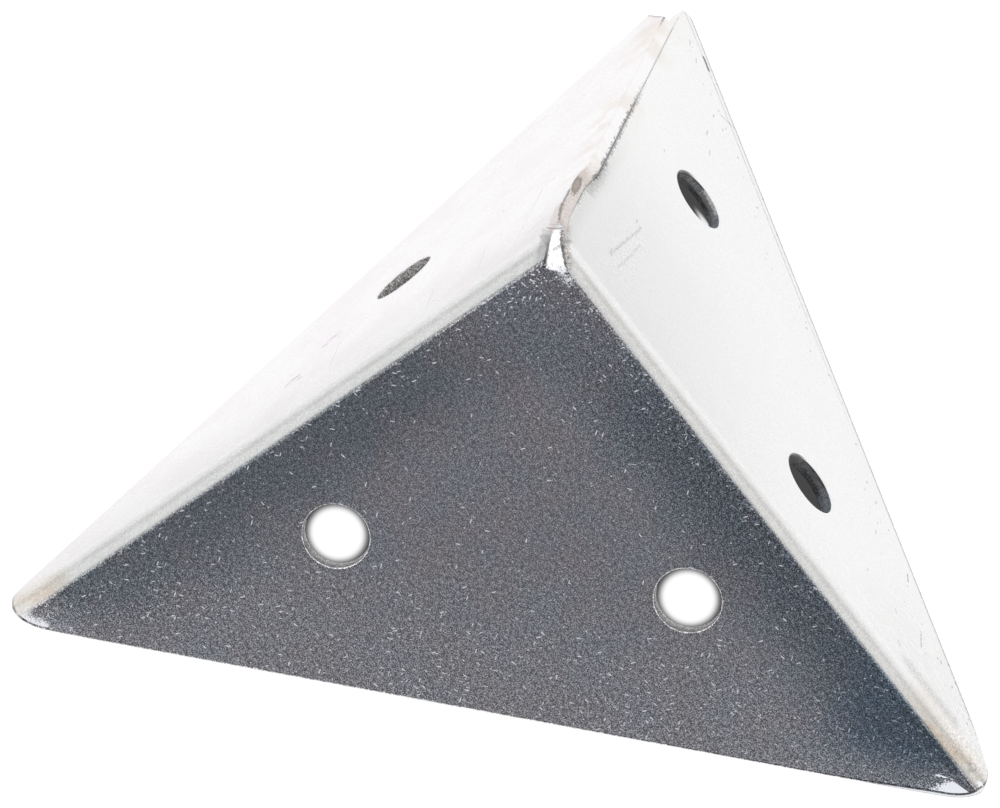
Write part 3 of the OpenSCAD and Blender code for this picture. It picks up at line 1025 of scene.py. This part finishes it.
class PYRAMID_OT_plate(bpy.types.Operator):
    """Makes the folded plate, with rounded edges and its plating"""

    bl_idname = "pyramid_corner.plate"
    bl_label = "Folded plate"

    def execute(self, context):
        sizes, colours = context.scene.corner_sizes, context.scene.corner_colours
        top = peak(sizes)
        sheet, fold = sizes.sheet / MM, sizes.fold / MM

        def place(point):
            q = (point - top) / MM
            return q.dot(ALONG_RIGHT), q.dot(ALONG_LEFT), q.dot(ALONG_SEAM)

        bm = bmesh.new()
        bm.from_mesh(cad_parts["corner_plate"].data)
        bmesh.ops.remove_doubles(bm, verts=bm.verts, dist=2e-6)
        bmesh.ops.dissolve_limit(
            bm, angle_limit=FLAT, use_dissolve_boundaries=False,
            verts=bm.verts, edges=bm.edges,
        )
        bm.normal_update()
        rim = bm.faces.layers.float.new("rim")
        flat = bm.verts.layers.float_vector.new("place")

        def outer(edge):
            """True where an edge is convex, sharp and clear of the seam's slot."""
            if not edge.is_manifold or not edge.is_convex:
                return False
            if edge.calc_face_angle() < SHARP:
                return False
            for vert in edge.verts:
                right, left, seam = place(vert.co)
                if sheet - 0.01 < right < sheet + 0.2 and left < sheet + 0.05 and seam > sheet:
                    return False
            return True

        def beside_peak(face):
            """True for a face near the tongue, where the finer cuts go."""
            spots = [place(vert.co) for vert in face.verts]
            if max(max(right, left) for right, left, _ in spots) >= FINE_DOWN:
                return False
            return max(seam for _, _, seam in spots) < FINE_BACK

        rounded = bmesh.ops.bevel(
            bm, geom=[e for e in bm.edges if outer(e)], offset=sizes.rim,
            offset_type="OFFSET", segments=3, profile=0.5, affect="EDGES",
            clamp_overlap=False, material=-1,
        )
        for face in rounded["faces"]:
            face[rim] = 1
        self.cut(bm, top, sizes.cell, sizes.leg, lambda face: True)
        self.cut(bm, top, sizes.peak_cell, FINE_CUTS, beside_peak)
        bm.normal_update()
        for face in bm.faces:
            n = face.normal
            turned = (n.dot(ALONG_RIGHT), n.dot(ALONG_LEFT), n.dot(ALONG_SEAM))
            face.material_index = int(
                is_cut(place(face.calc_center_median()), turned, sheet, fold)
            )
        for vert in bm.verts:
            vert[flat] = place(vert.co)
            self.bend(vert, *vert[flat], sizes)
        bm.normal_update()
        effects = shared_effects(sizes, colours)
        piece = new_piece(
            "plated_sheet", bm, [zinc_plating(effects, colours), sheared_steel(effects, colours)],
        )
        piece.data.shade_smooth()
        crisp_normals(piece.data, SHARP)
        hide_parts("corner_plate")
        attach(piece, "root")
        return {"FINISHED"}

    @staticmethod
    def cut(bm, top, cell, length, wanted):
        """Cuts the wanted faces by planes across the three axes, a cell apart."""
        faces = [face for face in bm.faces if wanted(face)]
        edges = {edge for face in faces for edge in face.edges}
        verts = {vert for face in faces for vert in face.verts}
        geometry = [*verts, *edges, *faces]
        for along in (ALONG_RIGHT, ALONG_LEFT, ALONG_SEAM):
            for step in range(1, int(length / cell)):
                geometry = bmesh.ops.bisect_plane(
                    bm, geom=geometry, dist=1e-7,
                    plane_co=top + along * (cell * step), plane_no=along,
                )["geom"]

    @staticmethod
    def bend(vert, right, left, seam, sizes):
        """Moves one vertex: the pushed seam, the closed slot, the curled tips and the tongue."""
        near = ramp(seam, 1.2, 5.0) * (1 - ramp(seam, 11.0, 16.5))
        near *= 1 - ramp(max(right, left), 1.4, 6.0)
        vert.co -= ALONG_RIGHT * (sizes.push * near)
        sheet = sizes.sheet / MM
        if sheet + 0.1 < right < sheet + 0.2 and left < sheet + 0.1:
            vert.co -= ALONG_RIGHT * SLOT_CLOSED
        for far in (left, right):
            tip = ramp(far, 53.0, 58.5) * (1 - ramp(seam, 1.0, 3.5))
            vert.co += ALONG_SEAM * (sizes.curl * tip)
        vert.co.z = min(max(vert.co.z, 0), CAD_BOX[1][2])
        down = (right + left) / math.sqrt(2)
        across = (right - left) / math.sqrt(2)
        if min(right, left, seam) > 0.9 or down > 3.6 or seam > 2.0:
            return
        wide = TONGUE_SIDE + TONGUE_SPREAD * down
        tongue = ramp(across, -0.44, -0.30) * (1 - ramp(across, wide, wide + 0.14))
        tongue *= 1 - ramp(down, 3.10, 3.28)
        pressed = max(0.3 * (3.2 - down), 0) + 0.1 * (across + 0.35)
        if pressed > seam:
            vert.co += ALONG_SEAM * ((pressed - seam) * tongue * MM)


class PYRAMID_OT_stage(bpy.types.Operator):
    """Makes the floor, the soft surround and the camera"""

    bl_idname = "pyramid_corner.stage"
    bl_label = "Stage"

    def execute(self, context):
        scene = context.scene
        sizes, colours = scene.corner_sizes, scene.corner_colours
        bm = bmesh.new()
        bmesh.ops.create_grid(bm, x_segments=1, y_segments=1, size=4)
        new_piece("floor", bm, [self.pale_floor(sizes, colours)])
        self.surround(scene)
        self.camera(scene, sizes)
        scene.view_settings.view_transform = "Standard"
        return {"FINISHED"}

    @staticmethod
    def pale_floor(sizes, colours):
        """A pale floor that glows, with painted shade inside the plate but for two painted spots
        and
            a painted streak of light.
        """
        material = bpy.data.materials.new("pale floor")
        material.use_nodes = True
        t = Tree(material.node_tree)
        shader = t.nodes["Principled BSDF"]
        point = t.scaled(t.nodes.new("ShaderNodeTexCoord").outputs["Object"], 1 / MM)
        foot = sizes.leg / MM / math.sqrt(6)
        inside = foot
        for turn in (-90, 30, 150):
            out = (math.cos(math.radians(turn)), math.sin(math.radians(turn)), 0)
            gap = t.math("SUBTRACT", foot, t.vector("DOT_PRODUCT", point, out))
            inside = t.math("MINIMUM", inside, gap)
        # painted shadow: the floor is dark inside the plate
        shade = t.fade(inside, 2.4, 3.4)
        dim = 1.0
        for x, y, lean in LIT_SPOTS:
            across, along, _ = t.split(t.vector("SUBTRACT", point, (x, y, 0)))
            across = t.math("MULTIPLY_ADD", along, lean, across)
            off = t.vector("LENGTH", t.join(across, t.math("MULTIPLY", along, 0.93), 0))
            dim = t.math("MULTIPLY", dim, t.fade(off, 1.75, 2.9, 0, 1))
        shade = t.math("MULTIPLY", shade, dim)
        glow = t.math("MULTIPLY", t.math("SUBTRACT", 1, dim), 0.09)
        reach = t.vector("SUBTRACT", point, (*STREAK_MIDDLE, 0))
        x, y = STREAK_WAY
        along = t.vector("DOT_PRODUCT", reach, (x * STREAK_LONG, y * STREAK_LONG, 0))
        beside = t.vector("DOT_PRODUCT", reach, (-y * STREAK_NARROW, x * STREAK_NARROW, 0))
        off = t.vector("LENGTH", t.join(along, beside, 0))
        shade = t.math("MULTIPLY", shade, t.fade(off, 0.2, 2.0, 0.1, 1))
        t.set(shader.inputs["Base Color"], t.mix(shade, tuple(colours.floor), (0.05, 0.05, 0.05)))
        shader.inputs["Roughness"].default_value = 0.9
        shader.inputs["Specular IOR Level"].default_value = 0.1
        shader.inputs["Emission Color"].default_value = (1, 1, 1, 1)
        strength = t.math("ADD", t.fade(shade, 0, 1, 0.90, 0.06), glow)
        t.set(shader.inputs["Emission Strength"], strength)
        return material

    @staticmethod
    def surround(scene):
        """A bright surround with a dark patch low in front, which the front face mirrors."""
        world = bpy.data.worlds.new("soft surround")
        world.use_nodes = True
        scene.world = world
        t = Tree(world.node_tree)
        sky = t.nodes["Background"]
        x, y, z = t.split(t.nodes.new("ShaderNodeTexCoord").outputs["Generated"])
        side = t.math("DEGREES", t.math("ARCTAN2", x, t.math("MULTIPLY", y, -1)))
        rise = t.math("DEGREES", t.math("ARCSINE", z))
        top = t.math("MULTIPLY_ADD", side, 0.2, 38)
        low = t.fade(t.math("SUBTRACT", rise, top), -2, 2, 1, 0)
        shade = t.math("MULTIPLY", t.fade(side, -38, -27), t.fade(side, 33, 43, 1, 0))
        shade = t.math("MULTIPLY", shade, low)
        t.set(sky.inputs["Color"], t.mix(shade, (1.12, 1.12, 1.13), (0.248, 0.258, 0.281)))
        sky.inputs["Strength"].default_value = 1.0

    @staticmethod
    def camera(scene, sizes):
        """The camera that fits the outline and the holes. Aim's columns are its right, its up
        and its back."""
        aim = Matrix((
            (0.9762, -0.1761, 0.1264),
            (0.2165, 0.8269, -0.5192),
            (-0.0131, 0.5342, 0.8453),
        ))
        right, up, back = (aim.col[i].normalized() for i in range(3))
        back = right.cross(up).normalized()
        up = back.cross(right).normalized()
        away = DISTANCE * sizes.leg
        offset_x = (PEAK_AT[0] - FRAME[0] / 2) / FOCAL * away
        offset_y = (PEAK_AT[1] - FRAME[1] / 2) / FOCAL * away
        place = peak(sizes) - right * offset_x + up * offset_y + back * away
        data = bpy.data.cameras.new("camera")
        data.sensor_width = SENSOR
        data.lens = FOCAL * SENSOR / FRAME[0]
        data.clip_start, data.clip_end = 0.05, 20
        camera = bpy.data.objects.new("camera", data)
        camera.matrix_world = Matrix.Translation(place) @ Matrix((
            (right.x, up.x, back.x), (right.y, up.y, back.y), (right.z, up.z, back.z),
        )).to_4x4()
        scene.collection.objects.link(camera)
        scene.camera = camera


class PYRAMID_PT_panel(bpy.types.Panel):
    """Lists the pieces and their sizes"""

    bl_idname = "PYRAMID_PT_panel"
    bl_label = "Pyramid corner"
    bl_space_type = "VIEW_3D"
    bl_region_type = "UI"
    bl_category = "Pyramid corner"

    def draw(self, context):
        layout = self.layout
        for group in (context.scene.corner_sizes, context.scene.corner_colours):
            for name in group.__annotations__:
                layout.prop(group, name)
        layout.operator(PYRAMID_OT_plate.bl_idname)
        layout.operator(PYRAMID_OT_stage.bl_idname)


CLASSES = (CornerSizes, CornerColours, PYRAMID_OT_plate, PYRAMID_OT_stage, PYRAMID_PT_panel)


def register():
    for cls in CLASSES:
        bpy.utils.register_class(cls)
    bpy.types.Scene.corner_sizes = bpy.props.PointerProperty(type=CornerSizes)
    bpy.types.Scene.corner_colours = bpy.props.PointerProperty(type=CornerColours)


def unregister():
    del bpy.types.Scene.corner_colours
    del bpy.types.Scene.corner_sizes
    for cls in reversed(CLASSES):
        bpy.utils.unregister_class(cls)


def main():
    register()
    bpy.ops.pyramid_corner.plate()
    bpy.ops.pyramid_corner.stage()


if __name__ == "__main__":
    main()
